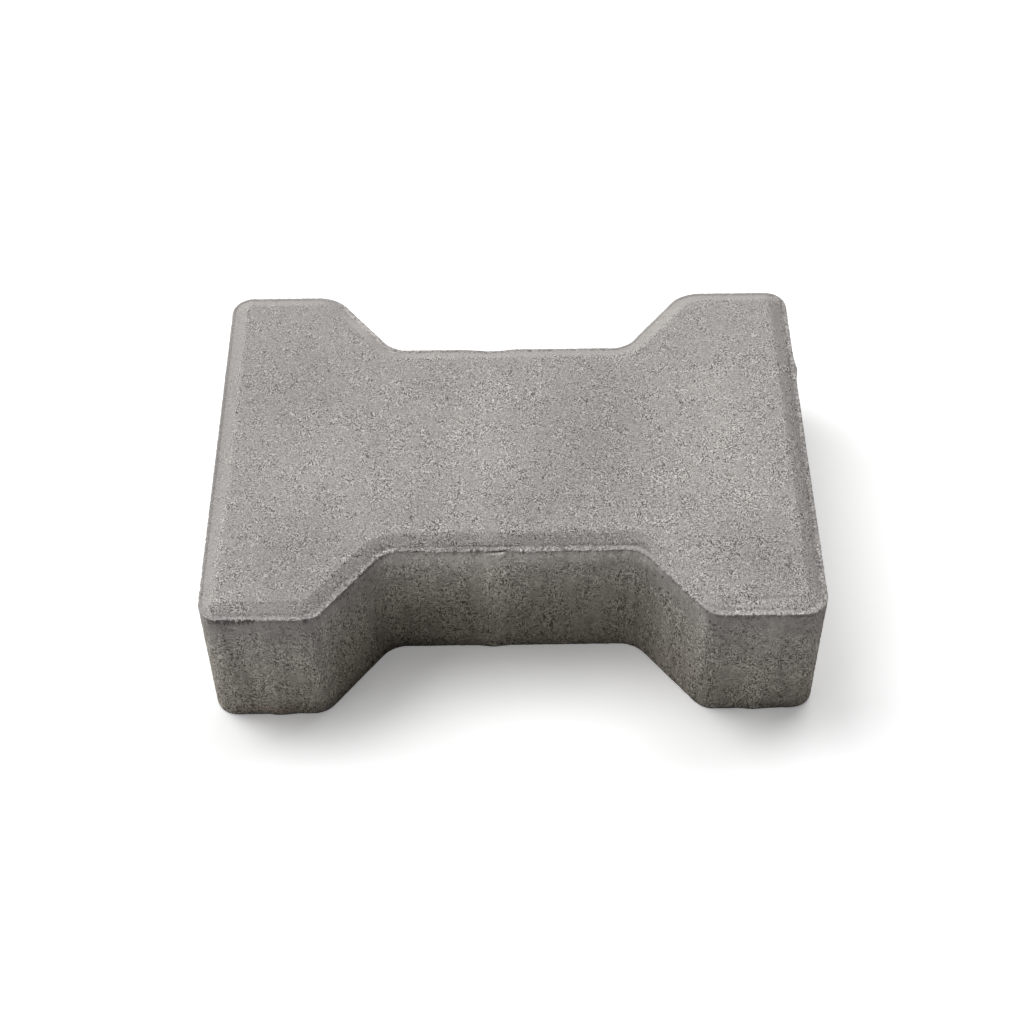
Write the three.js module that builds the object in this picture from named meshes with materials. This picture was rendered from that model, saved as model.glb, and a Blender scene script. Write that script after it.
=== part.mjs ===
// Interlocking concrete paving stone of the double-T kind, cast in one piece.
// Millimetres, +Z up, origin at the centre of the base, long axis along X.
// The plan is two broad heads joined by a narrower waist. Each long side has a
// notch with slanted walls, which the heads of two neighbouring stones fill.

import * as THREE from 'three';

// Plan of the stone.
const LENGTH = 225;
const WIDTH = 166;
const TIP_LENGTH = 42;
const SLANT_RUN = 24;
const NOTCH_DEPTH = 31;

// Upright corners, as the mould box has them.
const END_CORNER_RADIUS = 8.5;
const TIP_CORNER_RADIUS = 13;
const NOTCH_CORNER_RADIUS = 11;

// Height, and the pressed edge round the wearing face. The lip is the narrow
// flat margin left between the mould wall and the tamper shoe, and the shoe's
// edge sinks a little below it before the chamfer rises to the face. The shoe
// hangs a little off the middle of the mould, towards the rear left, so the lip
// is a little wider along the front and the right end.
const THICKNESS = 60;
const CHAMFER_RISE = 2.4;
const CHAMFER_RUN = 4.8;
const LIP_WIDTH = 1.9;
const LIP_STEP = 0.4;
const LIP_STEP_RUN = 0.4;
const SHOE_SHIFT_X = -0.2;
const SHOE_SHIFT_Y = 0.25;

// Bottom arris, broken slightly where the stone left its pallet.
const ARRIS_RISE = 0.9;
const ARRIS_RUN = 0.6;

// Upright spacer ribs that keep the joint open, and the shallow upright hollow
// opposite the rib of the front notch. The ribs of the two front tips are placed
// from the ends of the stone, and run out towards the rim, so that the stone
// leaves the mould freely.
const NOTCH_RIB_X = -7.3;
const NOTCH_RIB_WIDTH = 13;
const NOTCH_RIB_STANDOUT = 0.8;
const END_RIB_Y = 38;
const END_RIB_WIDTH = 14;
const END_RIB_STANDOUT = 0.9;
const LEFT_TIP_RIB_FROM_END = 25.3;
const RIGHT_TIP_RIB_FROM_END = 22.1;
const TIP_RIB_WIDTH = 13;
const TIP_RIB_STANDOUT = 0.6;
const HOLLOW_X = -7;
const HOLLOW_WIDTH = 22;
const HOLLOW_DEPTH = 0.9;

// Fineness of the curves.
const CORNER_STEPS = 10;
const RIB_STEPS = 12;

// A fillet takes at most this share of each wall that it joins.
const WALL_SHARE = 0.45;
const SMALLEST_RADIUS = 0.3;

// Corners of one quarter of the plan, as distances from the two centre lines,
// from the end of the head inwards.
const quarterCorners = [
  { x: LENGTH / 2, y: WIDTH / 2, radius: END_CORNER_RADIUS },
  { x: LENGTH / 2 - TIP_LENGTH, y: WIDTH / 2, radius: TIP_CORNER_RADIUS },
  {
    x: LENGTH / 2 - TIP_LENGTH - SLANT_RUN,
    y: WIDTH / 2 - NOTCH_DEPTH,
    radius: NOTCH_CORNER_RADIUS,
  },
];

// The whole plan, anticlockwise from the front left corner.
function planCorners() {
  const inwards = quarterCorners;
  const outwards = [...quarterCorners].reverse();
  const turn = (corners, signX, signY) => corners.map((corner) => ({
    point: new THREE.Vector2(signX * corner.x, signY * corner.y),
    radius: corner.radius,
  }));
  return [
    ...turn(inwards, -1, -1),
    ...turn(outwards, 1, -1),
    ...turn(inwards, 1, 1),
    ...turn(outwards, -1, 1),
  ];
}

const corners = planCorners();
const FRONT_LEFT_TIP = 0;
const FRONT_NOTCH_WALL = 2;
const FRONT_RIGHT_TIP = 4;
const RIGHT_END_WALL = 5;
const REAR_NOTCH_WALL = 8;

// What stands out of a wall, or is hollowed into it, from the base to the lip.
// The centre is measured along the wall from its middle, anticlockwise. The top
// share is how much of the standout is left at the lip.
const reliefs = new Map([
  [FRONT_LEFT_TIP, {
    centre: LEFT_TIP_RIB_FROM_END - TIP_LENGTH / 2,
    width: TIP_RIB_WIDTH,
    standout: TIP_RIB_STANDOUT,
    topShare: 0,
  }],
  [FRONT_NOTCH_WALL, {
    centre: NOTCH_RIB_X,
    width: NOTCH_RIB_WIDTH,
    standout: NOTCH_RIB_STANDOUT,
    topShare: 1,
  }],
  [FRONT_RIGHT_TIP, {
    centre: TIP_LENGTH / 2 - RIGHT_TIP_RIB_FROM_END,
    width: TIP_RIB_WIDTH,
    standout: TIP_RIB_STANDOUT,
    topShare: 0,
  }],
  [RIGHT_END_WALL, {
    centre: END_RIB_Y,
    width: END_RIB_WIDTH,
    standout: END_RIB_STANDOUT,
    topShare: 1,
  }],
  [REAR_NOTCH_WALL, {
    centre: -HOLLOW_X,
    width: HOLLOW_WIDTH,
    standout: -HOLLOW_DEPTH,
    topShare: 1,
  }],
]);

function nextIndex(index) {
  return (index + 1) % corners.length;
}

function previousIndex(index) {
  return (index + corners.length - 1) % corners.length;
}

function wallDirection(index) {
  return corners[nextIndex(index)].point.clone().sub(corners[index].point).normalize();
}

function wallLength(index) {
  return corners[nextIndex(index)].point.distanceTo(corners[index].point);
}

// Outward normal of a wall of an anticlockwise plan.
function outward(direction) {
  return new THREE.Vector2(direction.y, -direction.x);
}

// Fillet round one corner of the plan moved inwards by inset. A convex corner
// gets tighter as the plan shrinks, and a concave one gets wider.
function cornerArc(index, inset) {
  const before = wallDirection(previousIndex(index));
  const after = wallDirection(index);
  const bend = Math.asin(THREE.MathUtils.clamp(before.cross(after), -1, 1));
  const turn = before.dot(after) < 0 ? Math.sign(bend) * Math.PI - bend : bend;
  const halfTan = Math.tan(Math.abs(turn) / 2);
  const shortWall = Math.min(wallLength(previousIndex(index)), wallLength(index));
  const planRadius = Math.min(corners[index].radius, (WALL_SHARE * shortWall) / halfTan);
  const side = Math.sign(turn);
  const radius = Math.max(planRadius - side * inset, SMALLEST_RADIUS);

  const bisector = outward(before).add(outward(after)).normalize();
  const reach = Math.cos(turn / 2);
  const sharp = corners[index].point.clone().addScaledVector(bisector, -inset / reach);
  const centre = sharp.addScaledVector(bisector, (-side * radius) / reach);

  const start = outward(before).multiplyScalar(side);
  const points = [];
  for (let step = 0; step <= CORNER_STEPS; step += 1) {
    const spoke = start.clone().rotateAround(new THREE.Vector2(), (turn * step) / CORNER_STEPS);
    points.push(centre.clone().addScaledVector(spoke, radius));
  }
  return points;
}

// Points of a rib or hollow on one wall, swelling smoothly from the wall and
// back. Past the lip no rib or hollow is left.
function reliefPoints(index, { inset, height, onWall }) {
  const relief = reliefs.get(index);
  if (!relief) {
    return [];
  }
  const share = onWall ? THREE.MathUtils.lerp(1, relief.topShare, height / lipHeight) : 0;
  const along = wallDirection(index);
  const out = outward(along);
  const middle = corners[index].point.clone().lerp(corners[nextIndex(index)].point, 1 / 2);
  const points = [];
  for (let step = 0; step <= RIB_STEPS; step += 1) {
    const across = step / RIB_STEPS - 1 / 2;
    const swell = (1 + Math.cos(2 * Math.PI * across)) / 2;
    const point = middle.clone();
    point.addScaledVector(along, relief.centre + relief.width * across);
    point.addScaledVector(out, relief.standout * share * swell - inset);
    points.push(point);
  }
  return points;
}

// One closed ring of the stone's surface at a given level. The mould box shapes
// what is on the wall, and the shoe what is past the lip.
function ring(level) {
  const points = [];
  corners.forEach((_, index) => {
    points.push(...cornerArc(index, level.inset));
    points.push(...reliefPoints(index, level));
  });
  const shift = level.onWall ? new THREE.Vector2() : shoeShift;
  return points.map((point) => new THREE.Vector3(
    point.x + shift.x,
    point.y + shift.y,
    level.height,
  ));
}

// Section of the edge, from the base up to the wearing face.
const shoeShift = new THREE.Vector2(SHOE_SHIFT_X, SHOE_SHIFT_Y);
const lipHeight = THICKNESS - CHAMFER_RISE;
const footInset = LIP_WIDTH + LIP_STEP_RUN;
const levels = [
  { inset: ARRIS_RUN, height: 0, onWall: true },
  { inset: 0, height: ARRIS_RISE, onWall: true },
  { inset: 0, height: lipHeight, onWall: true },
  { inset: LIP_WIDTH, height: lipHeight, onWall: false },
  { inset: footInset, height: lipHeight - LIP_STEP, onWall: false },
  { inset: footInset + CHAMFER_RUN, height: THICKNESS, onWall: false },
];

// Closed skin through all rings, with a flat face over the first and the last.
function loft(rings) {
  const positions = rings.flat().flatMap((point) => point.toArray());
  const count = rings[0].length;
  const triangles = [];
  for (let level = 0; level < rings.length - 1; level += 1) {
    for (let index = 0; index < count; index += 1) {
      const low = level * count + index;
      const lowNext = level * count + ((index + 1) % count);
      triangles.push(low, lowNext, lowNext + count);
      triangles.push(low, lowNext + count, low + count);
    }
  }
  const addFace = (level, facesUp) => {
    const outline = rings[level].map((point) => new THREE.Vector2(point.x, point.y));
    for (const [a, b, c] of THREE.ShapeUtils.triangulateShape(outline, [])) {
      const face = facesUp ? [a, b, c] : [a, c, b];
      triangles.push(...face.map((index) => level * count + index));
    }
  };
  addFace(0, false);
  addFace(rings.length - 1, true);

  const geometry = new THREE.BufferGeometry();
  geometry.setAttribute('position', new THREE.Float32BufferAttribute(positions, 3));
  geometry.setIndex(triangles);
  geometry.computeVertexNormals();
  return geometry;
}

const concrete = new THREE.MeshStandardMaterial({
  color: '#a09c98',
  roughness: 0.95,
  metalness: 0,
});

const pavingStone = new THREE.Mesh(loft(levels.map(ring)), concrete);
pavingStone.name = 'paving_stone';

const model = new THREE.Group();
model.name = 'interlocking_paving_stone';
model.add(pavingStone);

export default model;
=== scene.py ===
import math

import bmesh
import bpy
from mathutils import Matrix, Vector, noise
from mathutils.geometry import intersect_point_line


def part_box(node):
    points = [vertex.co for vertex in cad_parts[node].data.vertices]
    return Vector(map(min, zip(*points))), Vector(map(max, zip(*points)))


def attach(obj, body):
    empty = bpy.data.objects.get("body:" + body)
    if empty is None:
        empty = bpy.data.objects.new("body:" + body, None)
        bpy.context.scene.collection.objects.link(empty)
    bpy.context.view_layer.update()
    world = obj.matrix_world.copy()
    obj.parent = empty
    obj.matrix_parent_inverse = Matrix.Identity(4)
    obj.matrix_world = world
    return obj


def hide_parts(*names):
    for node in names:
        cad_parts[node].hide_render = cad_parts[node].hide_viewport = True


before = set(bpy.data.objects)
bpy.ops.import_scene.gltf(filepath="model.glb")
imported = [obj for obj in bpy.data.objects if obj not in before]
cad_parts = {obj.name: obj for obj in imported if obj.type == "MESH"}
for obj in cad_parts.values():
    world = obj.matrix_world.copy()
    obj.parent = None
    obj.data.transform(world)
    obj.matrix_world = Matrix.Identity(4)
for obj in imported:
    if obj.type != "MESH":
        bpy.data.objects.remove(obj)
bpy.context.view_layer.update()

bl_info = {
    "name": "Double-T Paving Stone",
    "version": (1, 0, 0),
    "blender": (4, 5, 0),
    "location": "3D View > Sidebar > Paving Stone",
    "description": "Builds a vibropressed double-T interlocking paving stone and its studio",
    "category": "Add Mesh",
}

NODE = "paving_stone"
MM = 0.001

CAD_LOW, CAD_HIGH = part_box(NODE)


# ---------------------------------------------------------------- settings

def length_of(name, description, default):
    """A setting that holds a length, in metres."""
    return bpy.props.FloatProperty(
        name=name, description=description, default=default, unit="LENGTH", precision=4)


def colour_of(name, description, default):
    """A setting that holds an sRGB hex colour."""
    return bpy.props.StringProperty(name=name, description=description, default=default)


class StoneSettings(bpy.types.PropertyGroup):
    """Sizes of the pressed stone"""

    length: length_of("Length", "Length from end to end, without the rib", -2 * CAD_LOW.x)
    width: length_of("Width", "Width over the two heads, without the ribs", 2 * CAD_HIGH.y)
    thickness: length_of("Thickness", "Height of the wearing face over the base", CAD_HIGH.z)
    tip: length_of("Tip", "Length of the straight tip of a head", 42 * MM)
    slant: length_of("Slant", "Run of a slanted notch wall along the stone", 24 * MM)
    notch: length_of("Notch depth", "Depth of the notch in each long side", 31 * MM)
    end_radius: length_of(
        "End corner radius", "Radius of the upright corners at the ends", 8.5 * MM)
    tip_radius: length_of(
        "Front tip corner radius", "Radius where a front tip meets a slanted wall", 9 * MM)
    rear_tip_radius: length_of(
        "Rear tip corner radius", "The same at the rear, where the mould is rounder", 14 * MM)
    notch_radius: length_of("Notch corner radius", "Radius in the corners of a notch", 11 * MM)
    rib_x: length_of(
        "Notch rib place", "Place of the spacer rib along the front notch wall", -7.3 * MM)
    rib_standout: length_of("Notch rib standout", "How far that rib stands out", 0.65 * MM)
    hollow_depth: length_of(
        "Hollow depth", "Depth of the upright hollow in the rear notch wall", 0.9 * MM)
    tip_rib_standout: length_of(
        "Tip rib standout", "How far the front tips' ribs stand out at the base", 0.55 * MM)
    end_rib_y: length_of("End rib place", "Place of the spacer rib along the right end", 38.2 * MM)
    end_rib_standout: length_of("End rib standout", "How far that rib stands out", 0.85 * MM)


class ConcreteSettings(bpy.types.PropertyGroup):
    """Colours of the concrete"""

    face_colour: colour_of("Face colour", "Hex colour of the facing concrete", "#A4A09D")
    pale_colour: colour_of("Fines colour", "Hex colour of the cement-rich fines", "#D6D2CE")
    # The dark colour also serves as the painted shade in the pores.
    dark_colour: colour_of("Sand colour", "Hex colour of the darker sand and pores", "#605D59")
    # The foot tint is partly a warmer mix and partly a painted warm cast of light.
    foot_tint: colour_of(
        "Foot tint", "Hex tint of the coarser mix at the foot of the walls", "#FFFAEA")


class StudioSettings(bpy.types.PropertyGroup):
    """Camera, lamps and floor"""

    lens: bpy.props.FloatProperty(
        name="Lens", description="Focal length on a 36 mm wide sensor", default=69.02)
    azimuth: bpy.props.FloatProperty(
        name="Azimuth", description="Turn of the camera about the upright",
        default=math.radians(-0.01), subtype="ANGLE")
    elevation: bpy.props.FloatProperty(
        name="Elevation", description="How far the camera looks down",
        default=math.radians(49.45), subtype="ANGLE")
    roll: bpy.props.FloatProperty(
        name="Roll", description="Tilt of the camera about its own axis",
        default=math.radians(-0.72), subtype="ANGLE")
    distance: length_of("Distance", "Camera to the aimed point on the floor", 803.0 * MM)
    light_level: bpy.props.FloatProperty(
        name="Light level", description="Strength of all lamps together", default=1.0)
    floor_colour: colour_of("Floor colour", "Hex colour of the floor", "#FFFFFF")


# ----------------------------------------------------------------- helpers

def linear(hex_colour):
    """Linear RGBA of an sRGB hex colour."""
    parts = [int(hex_colour[i:i + 2], 16) / 255 for i in (1, 3, 5)]
    return [p / 12.92 if p <= 0.04045 else ((p + 0.055) / 1.055) ** 2.4 for p in parts] + [1.0]


def add_node(tree, kind, settings=None, **inputs):
    """Adds a node, with its settings and with its inputs set or linked."""
    node = tree.nodes.new(kind)
    for name, value in (settings or {}).items():
        setattr(node, name, value)
    for name, value in inputs.items():
        key = int(name[1:]) if name[0] == "_" and name[1:].isdigit() else name.replace("_", " ")
        socket = node.inputs[key]
        if isinstance(value, bpy.types.NodeSocket):
            tree.links.new(value, socket)
        else:
            socket.default_value = value
    return node


def leave_edit():
    """Goes back to object mode and deselects all."""
    if bpy.context.object and bpy.context.object.mode != "OBJECT":
        bpy.ops.object.mode_set(mode="OBJECT")
    bpy.ops.object.select_all(action="DESELECT")


def work_on(piece):
    """Makes a piece the only selected one, and active."""
    leave_edit()
    piece.select_set(True)
    bpy.context.view_layer.objects.active = piece


def pick(kind, test):
    """In edit mode, selects just the vertices, edges or faces that pass a test."""
    bpy.ops.mesh.select_mode(type={"verts": "VERT", "edges": "EDGE", "faces": "FACE"}[kind])
    bpy.ops.mesh.select_all(action="DESELECT")
    mesh = bpy.context.object.data
    form = bmesh.from_edit_mesh(mesh)
    found = [item for item in getattr(form, kind) if test(item)]
    for item in found:
        item.select_set(True)
    form.select_flush_mode()
    bmesh.update_edit_mesh(mesh)
    if not found:
        raise RuntimeError(f"no {kind} found to work on")


def middle(edge):
    """Middle point of an edge."""
    return (edge.verts[0].co + edge.verts[1].co) / 2


# Two places this near count as one, and two heights this near as level (m). A face
# whose upright normal is at least so long looks up or down.
TOUCHING = 1e-6
SAME_LEVEL = 1e-7
LEVEL_NORMAL = 0.9


def level(item, height, slack=TOUCHING):
    """Whether all of an edge or face lies at a height, in metres."""
    return all(abs(v.co.z - height) < slack for v in item.verts)


def rise(edge):
    """How much higher one end of an edge lies than the other."""
    return abs(edge.verts[0].co.z - edge.verts[1].co.z)


def between(table, value):
    """Value at a place in a table of places and values, straight between its rows."""
    for (start, first), (end, last) in zip(table, table[1:]):
        if value < end:
            return first + (last - first) * max(value - start, 0) / (end - start)
    return table[-1][1]


def ramp(value, start, end):
    """Smooth step from 0 at start to 1 at end."""
    share = min(max((value - start) / (end - start), 0), 1)
    return share * share * (3 - 2 * share)


def span(value, start, end, soft):
    """1 from start to end, and falling smoothly to 0 over a soft stretch beside each."""
    return ramp(value, start - soft, start) * ramp(value, end + soft, end)


# -------------------------------------------------------------- the stone

# Section of the pressed edge, as distance in from the wall and height over the
# start of the lip: the last of the wall and the lip, then the shallow crease
# that the tamper shoe's edge cut, and the chamfer rolling into the wearing face.
RIM_SECTION = [
    (0.0, -1.30), (0.0, -0.80), (0.0, -0.40), (0.0, 0.0), (0.03, 0.24), (0.13, 0.40),
    (0.50, 0.47), (0.90, 0.46), (1.25, 0.41),
]
CHAMFER_SECTION = [
    (1.60, 0.33), (1.86, 0.28), (2.04, 0.34), (2.28, 0.51), (2.75, 0.80), (3.40, 1.11),
    (4.10, 1.45), (4.80, 1.77), (5.45, 2.06), (6.05, 2.31), (6.60, 2.53), (6.90, 2.63),
    (7.15, 2.66),
]
EDGE_SECTION = RIM_SECTION + CHAMFER_SECTION

# How far below the wearing face the lip starts, and the plain block ends (mm).
LIP_START = 2.66
BLOCK_TOP = LIP_START - RIM_SECTION[0][1]

# Section of the bottom arris, as distance in from the wall and height over the base.
FOOT_SECTION = [(0.0, 1.30), (0.04, 0.50), (0.14, 0.14), (0.40, 0.0)]

# The shoe came down a little off the middle of the mould and tilted, so the lip is
# wider at the front and right than at the rear and left. Inset (mm) and share of
# the shift that a ring takes.
SHOE_SHIFT = Vector((-0.5, 0.45, 0)) * MM
SHOE_SHARE = [(0.15, 0.0), (1.85, 1.0), (7.15, 0.5)]

# The walls stand this far inside the nominal plan, to leave room for their relief.
SKIN = 0.10 * MM

# Half widths of the rib and the hollow of the notch walls, and how far in from the
# wall their tops still follow them.
RIB_REACH = 7.0 * MM
HOLLOW_REACH = 11.0 * MM
RIB_TOP = 1.2 * MM

# The end rib is two swellings, so that it falls steeply towards the front and slowly
# towards the rear: place from the first, share of the standout, half width.
END_RIB = [(0.0, 0.5, 5.0 * MM), (2.3 * MM, 0.55, 7.5 * MM)]

# Places and half width of the front tips' ribs, and the heights at which they start
# to fade and are gone.
TIP_RIBS = (-87.2 * MM, 90.4 * MM)
TIP_RIB_REACH = 6.5 * MM
TIP_RIB_FULL, TIP_RIB_GONE = 20 * MM, 56 * MM

# Widths of the mesh's columns and rows on the walls, and of its grids on the wearing
# face and the base.
COLUMN = 0.86 * MM
ROW = 1.30 * MM
FACE_GRID = 1.25 * MM
BASE_GRID = 2.6 * MM

# Two edges that meet at a flatter angle than these are shaded as one surface: as the
# stone comes from the mould, and once its relief is on.
MOULDED_ANGLE = math.radians(50)
WEATHERED_ANGLE = math.radians(45)


def lip_height(s):
    """Height at which the upright walls end."""
    return s.thickness - LIP_START * MM


def block_heights(s):
    """Heights at which the plain block starts and ends."""
    return FOOT_SECTION[0][1] * MM, s.thickness - BLOCK_TOP * MM


def press_block(s):
    """The plain block, its walls cut across where the tips and the notch walls end."""
    low, high = block_heights(s)
    bpy.ops.mesh.primitive_cube_add(size=1, location=(0, 0, (low + high) / 2))
    stone = bpy.context.object
    stone.name = stone.data.name = "stone_body"
    stone.scale = (s.length - 2 * SKIN, s.width - 2 * SKIN, high - low)
    bpy.ops.object.transform_apply(location=True, rotation=True, scale=True)
    bpy.ops.object.mode_set(mode="EDIT")
    outer = s.length / 2 - s.tip
    inner = outer - s.slant
    for x in (-outer, -inner, inner, outer):
        bpy.ops.mesh.select_all(action="SELECT")
        bpy.ops.mesh.bisect(plane_co=(x, 0, 0), plane_no=(1, 0, 0))
    for side in (-1, 1):
        pick("verts", lambda v: abs(abs(v.co.x) - inner) < TOUCHING and v.co.y * side > 0)
        bpy.ops.transform.translate(value=(0, -side * (s.notch - SKIN), 0))
    return stone


def round_corners(s):
    """Rounds the upright corners, as the mould has them."""
    outer = s.length / 2 - s.tip
    half_turn = math.atan2(s.notch, s.slant) / 2
    for x, side, radius, turn in (
        (s.length / 2 - SKIN, 0, s.end_radius, math.pi / 4),
        (outer, -1, s.tip_radius, half_turn),
        (outer, 1, s.rear_tip_radius, half_turn),
        (outer - s.slant, 0, s.notch_radius, half_turn),
    ):
        pick("edges", lambda e: abs(abs(middle(e).x) - x) < TOUCHING
             and middle(e).y * side >= 0 and rise(e) > s.thickness / 2)
        bpy.ops.mesh.bevel(
            offset_type="OFFSET", offset=radius * math.tan(turn), profile=0.5,
            segments=round(2 * turn * radius / COLUMN), affect="EDGES")


def merge_flats():
    """Joins the coplanar faces of the top, and of the base, to one face each."""
    for side in (-1, 1):
        pick("faces", lambda f: f.normal.z * side > LEVEL_NORMAL)
        bpy.ops.mesh.dissolve_faces()


def press_edge():
    """Insets the top face by the edge section, and the base by the arris section."""
    for side, section in ((1, EDGE_SECTION),
                          (-1, [(i, -h) for i, h in FOOT_SECTION])):
        pick("faces", lambda f: f.normal.z * side > LEVEL_NORMAL)
        for (inset, height), (next_inset, next_height) in zip(section, section[1:]):
            bpy.ops.mesh.inset(
                thickness=(next_inset - inset) * MM,
                depth=(next_height - height) * MM,
                use_even_offset=True, use_boundary=True)
            if side > 0:
                share = between(SHOE_SHARE, next_inset) - between(SHOE_SHARE, inset)
                bpy.ops.transform.translate(value=SHOE_SHIFT * share)


def dice_walls(s):
    """Cuts walls, lip and chamfer into even columns, then the walls into rows."""
    low, high = block_heights(s)
    pick("faces", lambda f: len(f.verts) == 4)
    bpy.ops.mesh.bisect(plane_co=(0, 0, 0), plane_no=(0, 1, 0))
    form = bmesh.from_edit_mesh(bpy.context.object.data)
    long_edges = [(middle(e).copy(), e.calc_length()) for e in form.edges
                  if level(e, low) and e.calc_length() > 3 * COLUMN]
    for place, length in long_edges:
        pick("edges", lambda e: (middle(e) - place).length < TOUCHING)
        bpy.ops.mesh.loop_multi_select(ring=True)
        bpy.ops.mesh.subdivide(number_cuts=round(length / COLUMN) - 1)
    pick("edges", lambda e: rise(e) > 0.9 * (high - low))
    bpy.ops.mesh.subdivide(number_cuts=round((high - low) / ROW) - 1)


def split_rim(s):
    """Halves the columns of the rim, whose crumbs are finer than a column."""
    heights = [s.thickness + (height - LIP_START) * MM for _, height in RIM_SECTION]
    pick("edges", lambda e: any(level(e, height, 2 * SAME_LEVEL) for height in heights))
    bpy.ops.mesh.subdivide(number_cuts=1, ngon=False)


def plan_depth(s, co):
    """Rough distance of a point in from the outline of the plan."""
    x, y = abs(co.x), abs(co.y)
    steep = s.notch / s.slant
    lean = math.sqrt(1 + steep * steep)
    inner = s.length / 2 - s.tip - s.slant
    waist = s.width / 2 - s.notch
    notch = max(waist - y, (waist + (x - inner) * steep - y) / lean)
    return min(s.length / 2 - x, s.width / 2 - y, notch)


def in_plan(s, co, inset):
    """Whether a point lies inside the stone's plan by at least an inset."""
    corner = s.end_radius
    past_x, past_y = abs(co.x) - s.length / 2 + corner, abs(co.y) - s.width / 2 + corner
    if past_x > 0 and past_y > 0 and math.hypot(past_x, past_y) > corner - inset:
        return False
    return plan_depth(s, co) > inset


def lay_grid(s, height, step, inset, side, shift):
    """Replaces the flat face at a height by an even grid, joined to the ring round it."""
    pick("faces", lambda f: level(f, height) and f.normal.z * side > LEVEL_NORMAL
         and len(f.verts) > 8)
    bpy.ops.mesh.delete(type="ONLY_FACE")
    columns, rows = math.ceil(s.length / step), math.ceil(s.width / step)
    bpy.ops.mesh.select_all(action="DESELECT")
    bpy.ops.mesh.primitive_grid_add(
        x_subdivisions=columns, y_subdivisions=rows, size=1,
        location=(shift.x, shift.y, height))
    bpy.ops.transform.resize(
        value=(columns * step, rows * step, 1), center_override=(shift.x, shift.y, height))
    pick("verts", lambda v: abs(v.co.z - height) < TOUCHING and is_loose_grid(v)
         and not in_plan(s, v.co - shift, inset))
    bpy.ops.mesh.delete(type="VERT")
    pick("edges", lambda e: level(e, height) and len(e.link_faces) == 1)
    bpy.ops.mesh.fill(use_beauty=True)


def is_loose_grid(vert):
    """Whether a vertex belongs to the loose grid, all of whose edges lie flat."""
    return all(rise(e) < SAME_LEVEL for e in vert.link_edges)


def push_strip(test, offset, reach):
    """Moves an upright strip of a wall out or in, with a smooth fall-off along the wall."""
    pick("verts", test)
    bpy.ops.transform.translate(
        value=offset, use_proportional_edit=True, proportional_edit_falloff="SMOOTH",
        proportional_size=reach)


def raise_ribs(s):
    """Raises the two spacer ribs and sinks the upright hollow of the rear notch."""
    wall = s.width / 2 - s.notch
    near = 0.6 * COLUMN
    for side, depth, reach in ((-1, s.rib_standout, RIB_REACH), (1, s.hollow_depth, HOLLOW_REACH)):
        push_strip(lambda v: abs(v.co.x - s.rib_x) < near
                   and wall - RIB_TOP < v.co.y * side < wall + near, (0, -depth, 0), reach)
    for away, share, reach in END_RIB:
        push_strip(lambda v: abs(v.co.y - s.end_rib_y - away) < near
                   and v.co.x > s.length / 2 - RIB_TOP, (share * s.end_rib_standout, 0, 0), reach)


def make_stone(s):
    """Models the stone's shape, before its surface is roughened."""
    leave_edit()
    stone = press_block(s)
    round_corners(s)
    merge_flats()
    press_edge()
    dice_walls(s)
    split_rim(s)
    crest, crest_height = EDGE_SECTION[-1]
    lay_grid(s, lip_height(s) + crest_height * MM, FACE_GRID, crest * MM + FACE_GRID, 1,
             SHOE_SHIFT * SHOE_SHARE[-1][1])
    lay_grid(s, 0.0, BASE_GRID, FOOT_SECTION[-1][0] * MM + BASE_GRID, -1, Vector())
    bpy.ops.mesh.select_all(action="SELECT")
    bpy.ops.mesh.remove_doubles(threshold=0.01 * MM)
    bpy.ops.mesh.normals_make_consistent(inside=False)
    raise_ribs(s)
    work_on(stone)
    bpy.ops.object.shade_smooth_by_angle(angle=MOULDED_ANGLE)
    return stone


# ------------------------------------------------------------- the surface

# How far the front rim stands out along the stone (mm), where fines were squeezed
# up between the shoe and the mould, and how deep that reaches in and down (mm).
FRONT_RIM = [
    (-76, -0.12), (-68, -0.05), (-48, -0.20), (-31, 0.0), (-28, 0.45), (-18, 0.40),
    (-13, 0.15), (0, 0.30), (5, 0.95), (12, 0.60), (32, 0.60), (42, 0.40), (49, 0.0),
    (60, 0.0), (76, 0.20),
]
RIM_FADE_IN = (0.5, 1.6)
RIM_FADE_DOWN = 14

# Stretches of that rim where grains broke out under it: from, to, fall-off (mm) and
# how much; then how deep they reach in share, by how far down (mm) a point is.
TORN_RIM = [
    (-108, -92, 1.5, 1.0), (-74.5, -71.5, 1, 0.9), (-70, -47, 3, 0.5), (-45, -25, 2, 0.3),
    (3, 45, 2, 0.3), (47, 75, 2, 0.3), (77, 111, 2, 0.4),
]
TORN_DEPTH = [(-0.5, 0.6), (0.0, 1.0), (0.8, 1.0), (1.3, 0.5), (2.6, 0.0)]
TORN_REACH = 0.70 * MM

# Width and height of the grains that broke out together there (mm).
TORN_GRAIN = (0.75, 2.0)

# Single nicks in the rim of the notch wall: place and half width (mm).
NICKS = [(-20.9, 1.2), (-14.9, 0.7), (-11.9, 1.9)]

# Painted shade in the broken places, whose recesses lie in shade: share of light, by
# how far down (mm) a point is.
TORN_SHADE = [(-0.42, 0.0), (-0.2, -0.36), (0.8, -0.38), (1.3, -0.22), (1.8, 0.0)]

# The flap of fines that hangs under the rim beside the rib: how far down (mm), and
# share of how far it stands out. Over it the fines came away from the lip.
BURR = [(-0.46, -0.3), (-0.3, -1.0), (0.0, -1.0), (0.4, 0.3), (0.8, 0.5), (1.3, 0.4), (2.6, 0.0)]
BURR_REACH = 1.0 * MM
BURR_GRAIN = 1.1 * MM

# Where it starts and ends along the stone (mm).
BURR_LEFT = (-9.7, -8.8)
BURR_RIGHT = (-1.0, -3.0)

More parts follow.
